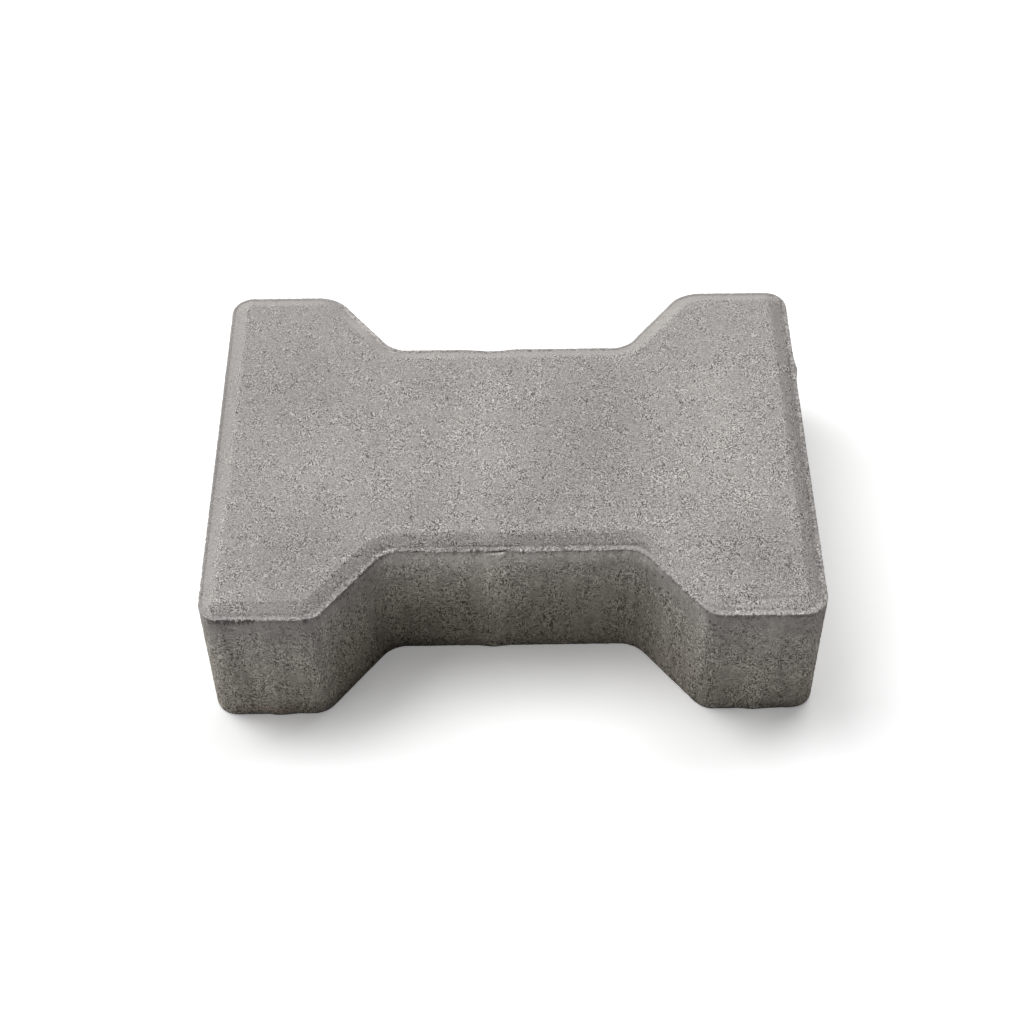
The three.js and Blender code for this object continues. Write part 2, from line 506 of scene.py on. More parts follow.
# Painted light and shade of the flap, by how far down (mm): a painted highlight on its
# top, which faces up, painted shade in the gap over it and painted shade under it.
BURR_PAINTED_LIGHT = [
    (-0.44, 0.0), (-0.3, -0.3), (0.0, -0.55), (0.12, -0.45), (0.35, 0.40), (0.9, 0.85),
    (1.05, 0.40), (1.3, -0.50), (1.8, -0.25), (2.6, -0.05), (3.9, 0.0),
]

# Front walls nearer than this are those of the tips, and the others those of the
# notch (mm).
NOTCH_STARTS = -60

# How far the right slanted wall of the rear notch stands out.
SLANT_REACH = 0.55 * MM

# A vertex with less weight than this stays where it is.
LEAST_WEIGHT = 0.01

# Relief of the surface, in the order in which it is laid on: name, region, size of
# the noise (mm), the part of its range that counts, stretch upwards, depth (mm) and
# the value that leaves the surface where it is. A narrow part with a low top leaves
# only pits.
RELIEF = [
    ("slow waves", "walls", 22, (0.0, 1.0), 1, 0.08, 0.5),
    ("drag streaks", "walls", 1.8, (0.0, 1.0), 16, 0.10, 0.5),
    ("torn sand", "lower walls", 1.7, (0.22, 0.50), 1, 0.35, 1.0),
    ("wall grain", "walls", 1.3, (0.0, 1.0), 1, 0.06, 0.5),
    ("face waves", "face", 14, (0.0, 1.0), 1, 0.05, 1.0),
    ("face grain", "face", 2.0, (0.0, 1.0), 1, 0.05, 1.0),
    ("lip grain", "lip", 1.2, (0.0, 1.0), 1, 0.16, 0.5),
    ("lip lumps", "lumpy lip", 1.5, (0.0, 1.0), 1, 0.34, 0.5),
    ("crumbled rim", "rim", 0.75, (0.28, 0.56), 1, 0.42, 0.80),
    ("ragged foot", "foot", 2.4, (0.2, 0.75), 1, 0.16, 0.8),
]


def millimetres(co):
    """The three coordinates of a point, in mm."""
    return [value / MM for value in co]


def places(stone):
    """Where the vertices are now."""
    return [vert.co.copy() for vert in stone.data.vertices]


def weigh(stone, name, weights):
    """Makes a vertex group from a weight for each vertex, and gives back its name."""
    group = stone.vertex_groups.new(name=name)
    for index, weight in enumerate(weights):
        if weight > LEAST_WEIGHT:
            group.add([index], min(weight, 1.0), "REPLACE")
    return name


def displace(stone, name, group, **settings):
    """Moves a weighted part of the surface by a Displace modifier, applied at once."""
    work_on(stone)
    shift = stone.modifiers.new(name, "DISPLACE")
    shift.vertex_group = group
    for setting, value in settings.items():
        setattr(shift, setting, value)
    bpy.ops.object.modifier_apply(modifier=name)


def roughen(stone, name, group, size, part, stretch, depth, rest):
    """Roughens a weighted part of the surface by a row of the relief. The scale of a
    helper stretches the noise."""
    texture = bpy.data.textures.new("relief", "CLOUDS")
    texture.noise_scale = size * MM
    texture.noise_depth = 1
    texture.use_color_ramp = True
    low, high = texture.color_ramp.elements
    low.position, low.color = part[0], (0, 0, 0, 1)
    high.position, high.color = part[1], (1, 1, 1, 1)
    helper = bpy.data.objects.new("stretch", None)
    bpy.context.scene.collection.objects.link(helper)
    helper.scale = (1, 1, stretch)
    bpy.context.view_layer.update()
    displace(stone, name, group, strength=depth * MM, mid_level=rest, texture=texture,
             texture_coords="OBJECT", texture_coords_object=helper)
    bpy.data.objects.remove(helper)
    bpy.data.textures.remove(texture)


def tip_rib_weight(s, co):
    """How far a point of a front tip is out on its low rib, which fades upwards."""
    if co.y > -s.width / 2 + 2 * MM:
        return 0.0
    across = max(ramp(abs(co.x - x), TIP_RIB_REACH, 0) for x in TIP_RIBS)
    return across * (1 - ramp(co.z, TIP_RIB_FULL, TIP_RIB_GONE))


def front_wall(s, co):
    """Whether a point lies on or near a front wall, seen in plan."""
    return co.y < -s.width / 2 + s.notch + 1 * MM and plan_depth(s, co) < 2 * MM


def below_lip(s, co):
    """How far a point is below the start of the lip, in mm."""
    return (lip_height(s) - co.z) / MM


def rim_weight(s, co):
    """How far a point of the front walls' top follows the rim, in mm outwards."""
    if not front_wall(s, co):
        return 0.0
    fade = ramp(below_lip(s, co), RIM_FADE_DOWN, 0)
    return fade * (1 - ramp(plan_depth(s, co) / MM, *RIM_FADE_IN)) * between(FRONT_RIM, co.x / MM)


def slant_weight(s, co):
    """How far a point is on the right slanted wall of the rear notch, which stands out."""
    x, y, _ = millimetres(co)
    return span(x, 54, 66, 8) * ramp(y, 45, 50) * ramp(plan_depth(s, co) / MM, 2.6, 1.6)


def torn(s, co):
    """Whether grains are gone from the front rim at a place along it, 0 to 1."""
    if not front_wall(s, co):
        return 0.0
    x, y, z = millimetres(co)
    along = max(share * span(x, start, end, soft) for start, end, soft, share in TORN_RIM)
    grain = noise.noise(Vector((x / TORN_GRAIN[0], z / TORN_GRAIN[1], 3.4)))
    gone = along * ramp(grain + 0.25 * along, 0.02, 0.22)
    if y > NOTCH_STARTS:
        gone = max(gone, *(ramp(abs(x - place), reach, 0.4 * reach) for place, reach in NICKS))
    return gone


def torn_weight(s, co):
    """How far a point of the rim is set back where grains are gone."""
    edge = 1 - ramp(plan_depth(s, co) / MM, 0.15, 1.2)
    return torn(s, co) * edge * between(TORN_DEPTH, below_lip(s, co))


def on_burr(s, co):
    """Whether a point is along the flap of fines, 0 to 1."""
    x, y, _ = millimetres(co)
    if not front_wall(s, co) or y < NOTCH_STARTS:
        return 0.0
    at_rim = 1 - ramp(plan_depth(s, co) / MM, 0.8, 1.3)
    return at_rim * ramp(x, *BURR_LEFT) * ramp(x, *BURR_RIGHT)


def burr_weight(s, co):
    """How far a point is out on the flap of fines, in shares of its standout."""
    ragged = noise.noise(co / BURR_GRAIN)
    return on_burr(s, co) * between(BURR, below_lip(s, co)) * (0.9 + 0.5 * ragged)


def region_weights(s, co):
    """How far a point belongs to each region of the relief, by name. All ends in mm."""
    x, y, height = millimetres(co)
    depth, down = plan_depth(s, co) / MM, below_lip(s, co)
    on_lip = ramp(down, 0.2, -0.2) * (1 - ramp(depth, 1.9, 2.6))
    return {
        "walls": ramp(height, 0, 2) * (1 - ramp(down, 1.5, 0)),
        "lower walls": ramp(height, 0, 2) * (1 - ramp(down, 16, 7)),
        "rim": ramp(down, 1.4, 0.2) * (1 - ramp(depth, 0.3, 1.0)) * (1 - 0.7 * ramp(y, -50, -20)),
        "lip": on_lip,
        "lumpy lip": on_lip * ramp(depth, 0.1, 0.5) * ramp(x, -42, -50) * ramp(y, -50, -54),
        "foot": ramp(height, 0, 0.15) * (1 - ramp(height, 0.6, 4)),
        "face": ramp(down, 0, 0.5 - LIP_START),
    }


def weather(stone, s):
    """Gives the moulded form the relief of dry pressed concrete."""
    ribs = weigh(stone, "tip ribs", [tip_rib_weight(s, co) for co in places(stone)])
    displace(stone, "tip ribs", ribs, strength=-s.tip_rib_standout, mid_level=0, direction="Y")
    # All of these are weighed before the first of them moves the surface.
    moves = []
    for name, standout, out in (
        ("front rim", 1 * MM, rim_weight),
        ("burr", BURR_REACH, burr_weight),
        ("torn rim", -TORN_REACH, torn_weight),
        ("rear slant", -SLANT_REACH, slant_weight),
    ):
        amounts = [out(s, co) for co in places(stone)]
        for way in (1, -1):
            group = weigh(stone, f"{name} {way}", [way * amount for amount in amounts])
            moves.append((name, group, -way * standout))
    for name, group, strength in moves:
        displace(stone, name, group, strength=strength, mid_level=0, direction="Y")
    weights = [region_weights(s, co) for co in places(stone)]
    for name in weights[0]:
        weigh(stone, name, [weight[name] for weight in weights])
    for row in RELIEF:
        roughen(stone, *row)
    stone.vertex_groups.clear()
    work_on(stone)
    bpy.ops.object.shade_smooth_by_angle(angle=WEATHERED_ANGLE, keep_sharp_edges=False)


# ---------------------------------------------------------------- concrete

# Heights (mm) over which the tones of the walls, and those of the chamfer, end.
WALL_ENDS = (57.6, 57.3)
CHAMFER_ENDS = (59.8, 59.3)

# How much of the light the walls give back over their height (mm), against the
# wearing face. They are darker towards the foot, most of all in the notches: partly
# a coarser mix there, and partly painted shade. The darkest lowest mm is painted
# contact shade at the base, and the dip just under the lip is painted shade under the rim.
TIP_LIGHT = [
    (0, 0.45), (0.5, 0.62), (1.3, 0.93), (5, 0.98), (15, 1.03), (25, 1.08), (37, 1.08),
    (48, 1.0), (56.2, 0.97), (56.9, 0.82), (57.3, 1.0),
]
NOTCH_LIGHT = [
    (0, 0.50), (0.5, 0.64), (1.3, 0.84), (5, 0.85), (15, 0.79), (25, 0.84), (37, 0.94),
    (48, 0.94), (56.2, 1.0), (56.9, 0.82), (57.3, 1.0),
]

# How far their colour leans to the foot tint: partly a warmer mix, and partly a
# painted warm cast of light.
WALL_WARMTH = [(0, 1.0), (25, 0.75), (48, 0.35), (57.5, 0.1)]

# The front notch walls are paler towards the top, partly paler concrete and partly
# painted light: height (mm) and share of light that it adds. To the right it starts
# higher up, by so many mm. It is patchy, in patches of this size.
NOTCH_TOP_LIGHT = [
    (22, 0.0), (30, 0.10), (37, 0.20), (43, 0.33), (48, 0.52), (55, 0.72), (57, 0.70),
    (57.4, 0.0),
]
NOTCH_TOP_SHIFT = 10.0
NOTCH_TOP_PATCH = 14 * MM

# Slow patches of the wearing face, where the mix was struck wetter (pale) or
# drier (dark): place, reach along and across (mm), and share of light.
FACE_PATCHES = [
    (-72, -14, 32, 26, 0.06),
    (-11, 6, 18, 46, 0.09),
    (80, 4, 28, 66, 0.11),
    (-84, 32, 34, 36, -0.08),
    (-80, -56, 33, 36, -0.14),
    (32, -2, 32, 66, -0.14),
    (8, -32, 22, 26, -0.12),
    (-36, -34, 20, 20, -0.08),
    (-32, 30, 18, 16, -0.07),
    (92, -58, 32, 28, -0.17),
]

# Paler and darker spots of the lip and the chamfer: place, reach along and across
# (mm), and share of light. The pale spot on the chamfer of the rear left slanted wall
# is painted light, standing in for more light from the right rear.
EDGE_SPOTS = [
    (-16.5, -51.6, 1.6, 1.6, 0.40),
    (91, -78, 26, 7.5, 0.47),
    (-90, -78, 24, 7.5, 0.12),
    (0, -50, 75, 14, -0.11),
    (-25, -52, 30, 4, -0.10),
    (-9, -45.5, 6, 4.5, 0.25),
    (112, -10, 12, 75, -0.14),
    (-113, 0, 5, 90, -0.14),
    (-107, 5, 9, 95, -0.08),
    (-58.5, 67.5, 15, 20, 0.30),
    (60, 67, 12, 17, 0.05),
]

# The brown mark that the foot of the left tip took from a wet board: place, reach
# along and up (mm), and what it does to red, green and blue.
BOARD_MARK = (-89, 3.6, 26, 3.0)
BOARD_TINT = (0.10, -0.03, -0.07)

# A line along which grains came loose from the wearing face (mm), its half width
# and the share of light that it takes.
LOOSE_LINE = [(-46.8, 10.8), (-51.1, 6.5), (-51.7, 0.7), (-55.0, -3.4)]
LOOSE_REACH = 1.9
LOOSE_SHADE = 0.17

# Upright bands of the walls, paler or darker: place, half width (mm) and share of
# light, at the foot and at the top, with the heights (mm) between which the one goes
# over into the other. The pale band on the rib of the front notch wall is partly
# paler concrete and partly painted light that the rib catches; the dark bands beside
# the notch corners are painted shade.
WALL_BANDS = [
    (-93, -83, 9, 0.13, 0.13), (-7, -52, 8, 0.20, 0.27), (90, -83, 8, 0.11, 0.11),
    (74, -83, 8, -0.12, -0.10), (100, -83, 7, -0.12, 0.0), (-66, -77, 10, -0.08, 0.20),
    (-49, -57, 8, -0.15, -0.15), (49, -57, 7, -0.07, -0.07),
]
BAND_HEIGHTS = (25, 55)

# How far slow noise carries the patches of the face, and how slow it is (mm). Blender
# seeds this noise by the clock, so it gets a seed of its own.
PATCH_DRIFT = 8
DRIFT_SIZE = 18
DRIFT_SEED = 1

# Sizes of the slow noises in the tones: small lumps of fines, cloudy walls, the
# patches of painted shade in the crease, and the changing strength of the grain.
LUMP_SIZE = 0.9 * MM
CLOUD_SIZE = 3 * MM
CREASE_SHADE_SIZE = 2.5 * MM
STRENGTH_SIZE = 9 * MM


def glow(co, x, y, reach_x, reach_y):
    """Soft round spot in plan: 1 in its middle and 0 at its reach (mm)."""
    away = math.hypot((co.x / MM - x) / reach_x, (co.y / MM - y) / reach_y)
    return ramp(away, 1, 0)


def notch_share_at(x, y):
    """How far a wall at a place in mm takes the tones of the notch walls, whose darker
    foot is partly painted shade: 1 in the notches, and half of it on the right
    slanted wall."""
    return ramp(y, -83, -72) * (1 - 0.5 * ramp(x, 44, 58))


def wall_light(co):
    """Light that a point of a wall gives back, against the wearing face, its painted shade
    and painted light included.
    """
    x, y, height = millimetres(co)
    notch_share = notch_share_at(x, y)
    # Darker at the foot and just under the lip, partly as painted shade.
    light = between(TIP_LIGHT, height) * (1 - notch_share) + between(NOTCH_LIGHT, height) * notch_share
    if y < 0:
        # The paler top of the front notch walls, partly painted light.
        in_notch = ramp(y, -64, -56) * ramp(abs(x), 56, 44)
        lift = NOTCH_TOP_SHIFT * ramp(x, -4, 16) * ramp(height, 56, 50)
        patchy = 1 + 0.5 * noise.noise(Vector((co.x, co.y, co.z * 2.5)) / NOTCH_TOP_PATCH)
        light += between(NOTCH_TOP_LIGHT, height - lift) * in_notch * patchy
    # Upright bands, with painted light on the notch rib and painted shade beside the notch
    # corners.
    for band_x, band_y, reach, low, high in WALL_BANDS:
        share = low + (high - low) * ramp(height, *BAND_HEIGHTS)
        light += share * glow(co, band_x, band_y, reach, reach)
    return light


def crack_share(co):
    """1 on the line of grains that came loose from the wearing face, ragged at its sides."""
    spot = Vector((co.x, co.y, 0)) / MM
    away = LOOSE_REACH
    for start, end in zip(LOOSE_LINE, LOOSE_LINE[1:]):
        near, share = intersect_point_line(spot, Vector((*start, 0)), Vector((*end, 0)))
        if 0 <= share <= 1:
            away = min(away, (near - spot).length)
    return ramp(away, LOOSE_REACH, 0.3) * (0.6 + 0.8 * noise.noise(spot / 1.6))


def face_light(co, edge):
    """Light that a point of the wearing face or the chamfer gives back."""
    light = 1.0 - LOOSE_SHADE * crack_share(co)
    drifted = co + noise.noise_vector(co / (DRIFT_SIZE * MM)) * (PATCH_DRIFT * MM)
    for patch in FACE_PATCHES:
        light += patch[-1] * glow(drifted, *patch[:-1])
    # Paler and darker spots of the edge, one of them painted light.
    for edge_spot in EDGE_SPOTS:
        light += edge * edge_spot[-1] * glow(co, *edge_spot[:-1])
    return light


def front_right_share(x, y):
    """How far a place in mm lies on the front and right, away from the shoe's shift:
    there the crease takes painted shade and the chamfer keeps more grain.
    """
    return max(ramp(y, -38, -44) * ramp(x, -110, -105), ramp(x, 104, 108))


def lip_light(s, co, wall, edge):
    """Light that the lip, the crease and the chamfer give back, in shares, with painted
    shade in the crease and a painted highlight on the lip of the rear right slant.
    """
    x, y, _ = millimetres(co)
    depth = plan_depth(s, co) / MM
    pressed = front_right_share(x, y)
    light = 1 + edge * 0.03 * (1 - pressed)
    # Painted shade darkens the lip towards its crease on the front and right, most of all
    # in the notch; on the other sides the chamfer beside the crease takes a little.
    crease = ramp(depth, 1.1, 2.0) * ramp(depth, 2.75, 2.3) * (1 - wall)
    crease_shade_strength = 0.25 + 0.07 * ramp(y, -70, -56)
    crease_shade_strength *= 1 + 1.2 * noise.noise(co / CREASE_SHADE_SIZE)
    light *= 1 - crease * pressed * crease_shade_strength * (1 - span(x, 52, 68, 6))
    light *= 1 - 0.05 * ramp(depth, 4.2, 2.6) * edge * (1 - pressed)
    # Lumps of fines along the lip, in the notches and at the right end.
    lumpy = max(ramp(x, 46, 40) * ramp(abs(x), 80, 72), ramp(x, 108, 110.5))
    lumpy *= (1 - wall) * ramp(depth, 2.3, 1.7)
    light *= 1 + 0.9 * lumpy * noise.noise(co / LUMP_SIZE)
    # A painted highlight on the lip of the rear right slanted wall, whose rounded edge faces the
    # lamps.
    return light * (1 + 0.22 * slant_weight(s, co) * ramp(depth, 1.5, 0.3))


def grain_strength(co, wall, edge):
    """Strength of the grain at a point. The shoe and the mould rubbed it smoother at
    the edge, near the rim, towards the rear, and on the ends and the rear walls."""
    x, y, height = millimetres(co)
    rough = 1 + 0.45 * noise.noise(co / STRENGTH_SIZE)
    rough *= 1 - 0.10 * ramp(x, -10, -70) * (1 - wall)
    rough *= 1 - 0.28 * ramp(y, 20, 75)
    rough *= 1 - edge * (0.50 - 0.45 * front_right_share(x, y))
    rough *= 1 - 0.55 * wall * ramp(height, 44, 53)
    smooth = max(ramp(y, -30, 0), ramp(abs(x), 108, 111) * ramp(y, -78, -60))
    rough *= 1 - 0.32 * wall * smooth
    return 0.90 * rough * (1 + 0.08 * wall)


def paint_tones(stone, s, c):
    """Writes the slow tones, painted light and painted shade among them, and the strength
    of the grain onto the vertices.
    """
    for name, kind in (("tone", "FLOAT_VECTOR"), ("grain", "FLOAT"), ("wall", "FLOAT")):
        stone.data.attributes.new(name, kind, "POINT")
    tones, grain, walls = (stone.data.attributes[name].data for name in ("tone", "grain", "wall"))
    foot = linear(c.foot_tint)
    mark_x, mark_z, mark_reach_x, mark_reach_z = BOARD_MARK
    noise.seed_set(DRIFT_SEED)
    for index, vert in enumerate(stone.data.vertices):
        co = vert.co
        x, y, height = millimetres(co)
        wall = ramp(height, *WALL_ENDS)
        edge = ramp(height, *CHAMFER_ENDS) * (1 - wall)
        light = wall * wall_light(co) + (1 - wall) * face_light(co, edge)
        down = below_lip(s, co)
        # Painted highlight and painted shade on the flap of fines.
        light += on_burr(s, co) * between(BURR_PAINTED_LIGHT, down + 0.5 * noise.noise(co / LUMP_SIZE))
        # Painted shade in the broken places of the rim.
        light *= 1 + torn(s, co) * between(TORN_SHADE, down)
        light *= lip_light(s, co, wall, edge)
        notch_share = notch_share_at(x, y)
        light *= 1 + 0.10 * wall * (1 - 0.6 * notch_share) * noise.noise(co / CLOUD_SIZE)
        # The warmer foot: partly the mix, partly a painted warm cast of light.
        warmth = between(WALL_WARMTH, height) * wall * (0.7 + 0.3 * notch_share)
        mark = wall * ramp(y, -70, -80) * glow(
            Vector((co.x, co.z)), mark_x, mark_z, mark_reach_x, mark_reach_z)
        tones[index].vector = [light * (1 + (part - 1) * warmth) * (1 + mark * tint)
                               for part, tint in zip(foot, BOARD_TINT)]
        grain[index].value = grain_strength(co, wall, edge)
        walls[index].value = wall


# Real facing sand is 0.2 to 2 mm. Its grains are drawn as short strokes, at the
# finest width that shows: width and length on the face and on the walls, how far slow
# noise bends them, and the size of the spots in which they lie one way.
FACE_GRAIN = (0.33 * MM, 0.8 * MM)
WALL_GRAIN = (0.38 * MM, 1.5 * MM)
GRAIN_BEND = 1.2 * MM
BEND_SIZE = 2.4 * MM
TURN_SIZE = 1.6 * MM

# How far the noise swings from the middle colour to the palest or darkest.
GRAIN_SPREAD = 0.24

# Sizes of the spots where fines are smeared over the grain, of the mould's drag
# streaks, of the clots between them, of the pores and of their clusters; then the
# painted shade in a pore, and how strongly the walls show streaks, clots and pores.
SMEAR_SIZE = 4.5 * MM
STREAK_SIZE = 2.6 * MM
CLOT_SIZE = 3.0 * MM
PORE_SPACING = 2.0 * MM
CLUSTER_SIZE = 9 * MM
PORE_SHADE = -1.4
WALL_MARKS = 0.16


def stroked_sand(tree, place, width, length):
    """Sand grains as short strokes, now along and now across, bent by slow noise."""
    bend = add_node(tree, "ShaderNodeTexNoise", Vector=place, Scale=1 / BEND_SIZE, Detail=0.0)
    bent = add_node(tree, "ShaderNodeVectorMath", {"operation": "MULTIPLY_ADD"},
                    _0=bend.outputs["Color"], _1=[GRAIN_BEND] * 3, _2=place)
    short, long = 1 / width, 1 / length
    ways = []
    for scale in ((short, long, long), (long, short, short)):
        stretched = add_node(tree, "ShaderNodeMapping", Vector=bent.outputs[0], Scale=scale)
        ways.append(add_node(tree, "ShaderNodeTexNoise", Vector=stretched.outputs[0],
                             Scale=1.0, Detail=0.0).outputs["Fac"])
    turn = add_node(tree, "ShaderNodeTexNoise", Vector=place, Scale=1 / TURN_SIZE, Detail=0.0)
    share = add_node(tree, "ShaderNodeMapRange", {"interpolation_type": "SMOOTHSTEP"},
                     Value=turn.outputs["Fac"], From_Min=0.42, From_Max=0.58)
    along, across = ways
    return add_node(tree, "ShaderNodeMix", Factor=share.outputs[0], A=along, B=across).outputs[0]


def smeared(tree, place):
    """Strength of the grain from spot to spot, around 1: low where the fines were
    smeared smooth, in spots on the face and in upright strips on the walls."""
    drawn = add_node(tree, "ShaderNodeMapping", Vector=place, Scale=(1, 1, 0.35))
    spots = add_node(tree, "ShaderNodeTexNoise", Vector=drawn.outputs[0],
                     Scale=1 / SMEAR_SIZE, Detail=1.0)
    return add_node(tree, "ShaderNodeMapRange", Value=spots.outputs["Fac"],
                    From_Min=0.34, From_Max=0.66, To_Min=0.58, To_Max=1.42).outputs[0]


def drag_streaks(tree, place):
    """Upright drag marks of the mould and clots of fines between them, around 0."""
    drawn = add_node(tree, "ShaderNodeMapping", Vector=place, Scale=(1, 1, 0.06))
    streaks = add_node(tree, "ShaderNodeTexNoise", Vector=drawn.outputs[0],
                       Scale=1 / STREAK_SIZE, Detail=1.0)
    clots = add_node(tree, "ShaderNodeTexNoise", Vector=place, Scale=1 / CLOT_SIZE, Detail=1.0)
    total = add_node(tree, "ShaderNodeMath", {"operation": "ADD"},
                     _0=streaks.outputs["Fac"], _1=clots.outputs["Fac"])
    return add_node(tree, "ShaderNodeMath", {"operation": "SUBTRACT"},
                    _0=total.outputs[0], _1=1.0).outputs[0]


def open_pores(tree, place):
    """Pores between the grains, 1 inside them; the concrete paints shade in them.
    They gather in clusters.
    """
    cells = add_node(tree, "ShaderNodeTexVoronoi", Vector=place, Scale=1 / PORE_SPACING)
    pore = add_node(tree, "ShaderNodeMapRange", {"interpolation_type": "SMOOTHSTEP"},
                    Value=cells.outputs["Distance"], From_Min=0.34, From_Max=0.14)
    clusters = add_node(tree, "ShaderNodeTexNoise", Vector=place,
                        Scale=1 / CLUSTER_SIZE, Detail=1.0)
    share = add_node(tree, "ShaderNodeMapRange", Value=clusters.outputs["Fac"],
                     From_Min=0.42, From_Max=0.70, To_Min=0.0, To_Max=0.6)
    pick_cell = add_node(tree, "ShaderNodeSeparateColor", Color=cells.outputs["Color"])
    is_open = add_node(tree, "ShaderNodeMath", {"operation": "LESS_THAN"},
                       _0=pick_cell.outputs[0], _1=share.outputs[0])
    return add_node(tree, "ShaderNodeMath", {"operation": "MULTIPLY"},
                    _0=pore.outputs[0], _1=is_open.outputs[0]).outputs[0]


def concrete(c):
    """Vibropressed grey concrete, struck dry from a steel mould: dead matt, a fine
    sandy grain of pale cement fines and darker sand, with open pores darkened by
    painted shade. The walls are dragged upwards by the mould, smoother and paler near
    the rim, and pitted and darker towards the foot, partly in their colour and partly
    by painted light and shade."""
    material = bpy.data.materials.new("Vibropressed concrete, grey")
    material.use_nodes = True
    tree = material.node_tree
    tree.nodes.clear()
    place = add_node(tree, "ShaderNodeTexCoord").outputs["Object"]
    tone, roughness, wall = (
        add_node(tree, "ShaderNodeAttribute", {"attribute_name": name}).outputs[output]
        for name, output in (("tone", "Vector"), ("grain", "Fac"), ("wall", "Fac")))

    # Grain around 0, stronger in some places than in others, then the wall's marks.
    sand = add_node(tree, "ShaderNodeMix", Factor=wall,
                    A=stroked_sand(tree, place, *FACE_GRAIN),
                    B=stroked_sand(tree, place, *WALL_GRAIN)).outputs[0]
    sand = add_node(tree, "ShaderNodeMath", {"operation": "SUBTRACT"}, _0=sand, _1=0.5).outputs[0]
    for strength in (roughness, smeared(tree, place)):
        sand = add_node(tree, "ShaderNodeMath", {"operation": "MULTIPLY"},
                        _0=sand, _1=strength).outputs[0]
    # Painted shade in the pores, and the drag streaks, on the walls.
    marks = add_node(tree, "ShaderNodeMath", {"operation": "MULTIPLY_ADD"},
                     _0=open_pores(tree, place), _1=PORE_SHADE,
                     _2=drag_streaks(tree, place)).outputs[0]
    on_wall = add_node(tree, "ShaderNodeMath", {"operation": "MULTIPLY"},
                       _0=wall, _1=WALL_MARKS).outputs[0]
    marked = add_node(tree, "ShaderNodeMath", {"operation": "MULTIPLY_ADD"},
                      _0=marks, _1=on_wall, _2=sand).outputs[0]

    level_of_tone = add_node(tree, "ShaderNodeMapRange", Value=marked,
                             From_Min=-GRAIN_SPREAD, From_Max=GRAIN_SPREAD)
    speckle = add_node(tree, "ShaderNodeValToRGB", Fac=level_of_tone.outputs[0])
    low, high = speckle.color_ramp.elements
    low.color, high.color = linear(c.dark_colour), linear(c.pale_colour)
    speckle.color_ramp.elements.new(0.5).color = linear(c.face_colour)
    colour = add_node(tree, "ShaderNodeVectorMath", {"operation": "MULTIPLY"},
                      _0=speckle.outputs[0], _1=tone)

    bump = add_node(tree, "ShaderNodeBump", Height=marked, Strength=0.6, Distance=0.4 * MM)
    shader = add_node(tree, "ShaderNodeBsdfPrincipled", Base_Color=colour.outputs[0],
                      Roughness=0.95, Normal=bump.outputs[0])
    shader.inputs["Specular IOR Level"].default_value = 0.2
    add_node(tree, "ShaderNodeOutputMaterial", Surface=shader.outputs[0])
    return material


# --------------------------------------------------------------- operators

class STONE_OT_body(bpy.types.Operator):
    """Models the pressed stone and gives it its concrete"""

    bl_idname = "paving_stone.body"
    bl_label = "Stone"

    def execute(self, context):
        s, c = context.scene.stone_settings, context.scene.concrete_settings
        stone = make_stone(s)
        weather(stone, s)
        paint_tones(stone, s, c)
        stone.data.materials.append(concrete(c))
        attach(stone, "root")
        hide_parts(NODE)
        return {"FINISHED"}


# Soft lamps, as wide as large diffusers: compass direction from the rear towards
# the right, height over the floor (degrees), and the light that each gives a
# surface square to it. On a level face they add up to 1.
LAMPS = [
    ("key_light", 300, 58, 0.50),
    ("low_light", 300, 12, 0.46),
    ("top_light", 0, 70, 0.27),
    ("side_light", 30, 50, 0.24),
    ("front_light", 240, 30, 0.09),
]
LAMP_WIDTH = math.radians(35)

# The board (m) gives back less light than a white one, and is seen a little lifted.
FLOOR_SIZE = 6
FLOOR_BOUNCE = 0.72
FLOOR_LIFT = 0.24

# The point of the floor that the camera is aimed at.
AIM = Vector((0.06, 15.88, 0)) * MM


def heading(azimuth, elevation):
    """Unit vector of a compass direction, from the rear towards the right, and a height."""
    return Vector((math.sin(azimuth) * math.cos(elevation),
                   math.cos(azimuth) * math.cos(elevation),
                   math.sin(elevation)))


def seen_directly(tree):
    """Socket that is 1 for what the camera sees, also in gloss or through glass."""
    ray = add_node(tree, "ShaderNodeLightPath")
    total = add_node(tree, "ShaderNodeMath", {"operation": "MAXIMUM"},
                     _0=ray.outputs["Is Camera Ray"], _1=ray.outputs["Is Glossy Ray"])
    return add_node(tree, "ShaderNodeMath", {"operation": "MAXIMUM"},
                    _0=total.outputs[0], _1=ray.outputs["Is Transmission Ray"]).outputs[0]


def place_camera(s):
    """Adds the camera, aimed at the stone and turned about its own axis."""
    forward = heading(s.azimuth, -s.elevation)
    level_right = Vector((math.cos(s.azimuth), -math.sin(s.azimuth), 0))
    level_up = level_right.cross(forward)
    right = level_right * math.cos(s.roll) + level_up * math.sin(s.roll)
    up = level_up * math.cos(s.roll) - level_right * math.sin(s.roll)
    bpy.ops.object.camera_add()
    camera = bpy.context.object
    camera.name = "camera"
    camera.data.lens = s.lens
    camera.data.sensor_width = 36
    camera.data.clip_start = 0.01
    camera.matrix_world = Matrix.Translation(AIM - forward * s.distance) @ Matrix(
        (right, up, -forward)).transposed().to_4x4()
    bpy.context.scene.camera = camera


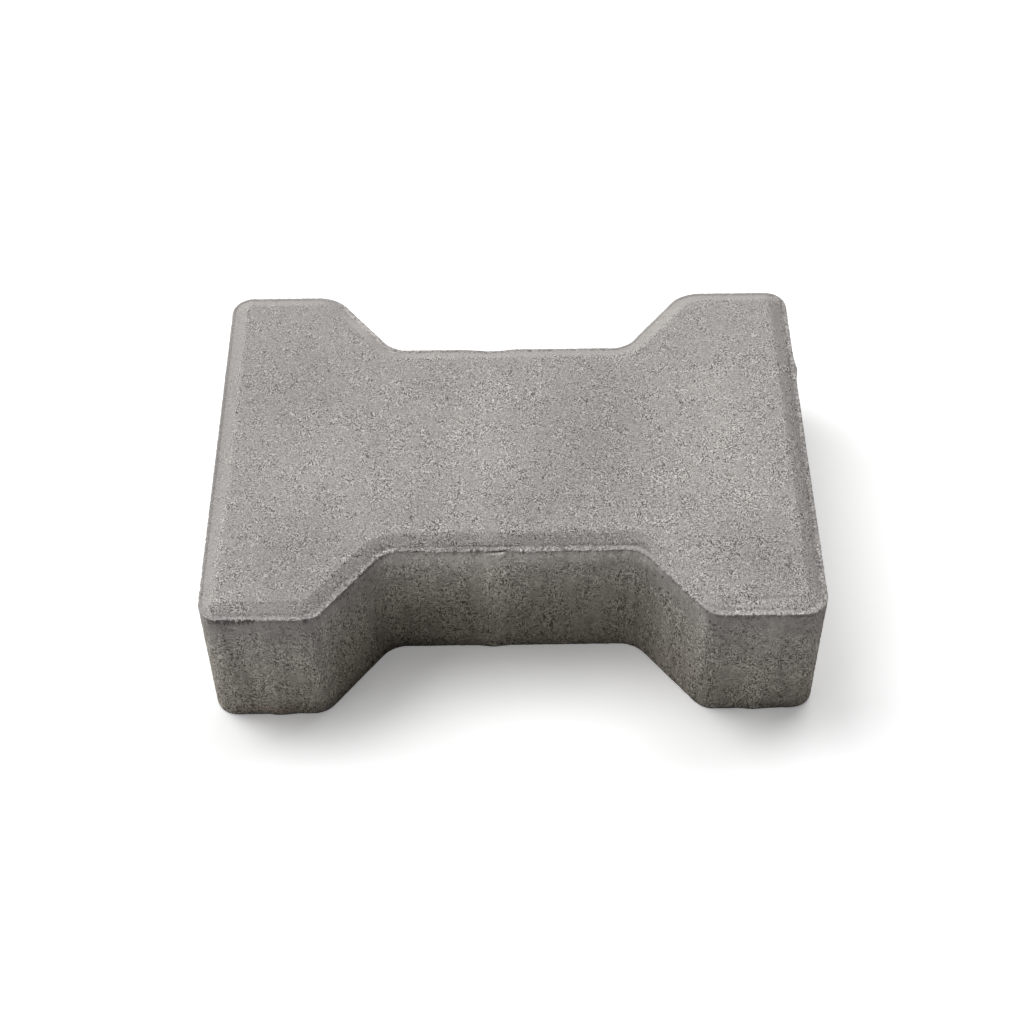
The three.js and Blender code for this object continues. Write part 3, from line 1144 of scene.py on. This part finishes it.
def lay_floor(s):
    """Adds the floor, a matt white board."""
    bpy.ops.mesh.primitive_plane_add(size=FLOOR_SIZE, location=(0, 0, 0))
    floor = bpy.context.object
    floor.name = floor.data.name = "studio_floor"
    paint = bpy.data.materials.new("Studio floor, matt white board")
    paint.use_nodes = True
    tree = paint.node_tree
    tree.nodes.clear()
    board = add_node(tree, "ShaderNodeBsdfDiffuse", Color=linear(s.floor_colour))
    lift = add_node(tree, "ShaderNodeEmission", Strength=FLOOR_LIFT)
    seen = add_node(tree, "ShaderNodeAddShader", _0=board.outputs[0], _1=lift.outputs[0])
    bounce = add_node(tree, "ShaderNodeBsdfDiffuse", Color=[FLOOR_BOUNCE] * 3 + [1.0])
    mix = add_node(tree, "ShaderNodeMixShader", _0=seen_directly(tree),
                   _1=bounce.outputs[0], _2=seen.outputs[0])
    add_node(tree, "ShaderNodeOutputMaterial", Surface=mix.outputs[0])
    floor.data.materials.append(paint)


def hang_lamps(s):
    """Adds the soft lamps, and a backdrop that is seen but gives no light."""
    for name, azimuth, elevation, irradiance in LAMPS:
        bpy.ops.object.light_add(type="SUN")
        lamp = bpy.context.object
        lamp.name = name
        lamp.data.energy = irradiance * math.pi * s.light_level
        lamp.data.angle = LAMP_WIDTH
        toward = heading(math.radians(azimuth), math.radians(elevation))
        lamp.rotation_euler = toward.to_track_quat("Z", "Y").to_euler()
    world = bpy.data.worlds.new("Studio backdrop, white")
    world.use_nodes = True
    tree = world.node_tree
    tree.nodes.clear()
    backdrop = add_node(tree, "ShaderNodeBackground", Color=(1, 1, 1, 1),
                        Strength=seen_directly(tree))
    add_node(tree, "ShaderNodeOutputWorld", Surface=backdrop.outputs[0])
    bpy.context.scene.world = world
    bpy.context.scene.view_settings.view_transform = "Standard"


class STONE_OT_stage(bpy.types.Operator):
    """Sets the floor, the lamps and the camera"""

    bl_idname = "paving_stone.stage"
    bl_label = "Studio"

    def execute(self, context):
        s = context.scene.studio_settings
        leave_edit()
        place_camera(s)
        lay_floor(s)
        hang_lamps(s)
        return {"FINISHED"}


class STONE_PT_panel(bpy.types.Panel):
    """Lists the pieces of the paving stone scene"""

    bl_idname = "STONE_PT_panel"
    bl_label = "Paving Stone"
    bl_space_type = "VIEW_3D"
    bl_region_type = "UI"
    bl_category = "Paving Stone"

    def draw(self, context):
        layout = self.layout
        for settings, operator in (
            (context.scene.stone_settings, STONE_OT_body),
            (context.scene.concrete_settings, None),
            (context.scene.studio_settings, STONE_OT_stage),
        ):
            box = layout.box()
            for name in settings.__annotations__:
                box.prop(settings, name)
            if operator:
                box.operator(operator.bl_idname)


CLASSES = (StoneSettings, ConcreteSettings, StudioSettings,
           STONE_OT_body, STONE_OT_stage, STONE_PT_panel)


def register():
    """Adds the classes and their settings."""
    for cls in CLASSES:
        bpy.utils.register_class(cls)
    bpy.types.Scene.stone_settings = bpy.props.PointerProperty(type=StoneSettings)
    bpy.types.Scene.concrete_settings = bpy.props.PointerProperty(type=ConcreteSettings)
    bpy.types.Scene.studio_settings = bpy.props.PointerProperty(type=StudioSettings)


def unregister():
    """Takes the classes and their settings away."""
    del bpy.types.Scene.studio_settings
    del bpy.types.Scene.concrete_settings
    del bpy.types.Scene.stone_settings
    for cls in reversed(CLASSES):
        bpy.utils.unregister_class(cls)


def main():
    """Builds everything."""
    register()
    bpy.ops.paving_stone.body()
    bpy.ops.paving_stone.stage()


if __name__ == "__main__":
    main()
